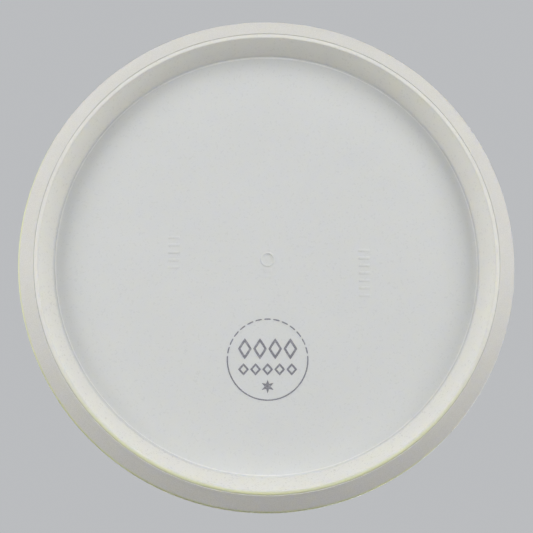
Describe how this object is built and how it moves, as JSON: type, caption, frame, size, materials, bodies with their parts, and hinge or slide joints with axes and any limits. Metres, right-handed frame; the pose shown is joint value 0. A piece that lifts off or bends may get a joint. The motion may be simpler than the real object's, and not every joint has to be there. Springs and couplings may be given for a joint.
{
  "type": "flying disc",
  "caption": "Midrange golf-style flying disc: domed flight plate and blunt bevelled rim in one moulding, with a silver foil emblem pressed on its underside.",
  "frame": {"origin": "on the spin axis, in the plane of the flat land under the rim that the disc rests on", "axes": "+Z along the spin axis with the flight plate's top facing up; the foil emblem on the underside lies towards -Y"},
  "size_m": [0.217, 0.217, 0.0176],
  "materials": {
    "disc_plastic": "translucent white, satin under the rim and glossy on top",
    "stamp_foil": "thin silver-grey hot-stamp foil"
  },
  "bodies": {
    "root": {"disc_body": "disc_plastic", "stamp_ring": "stamp_foil", "stamp_upper_lozenges": "stamp_foil", "stamp_lower_lozenges": "stamp_foil", "stamp_star": "stamp_foil"}
  },
  "joints": []
}
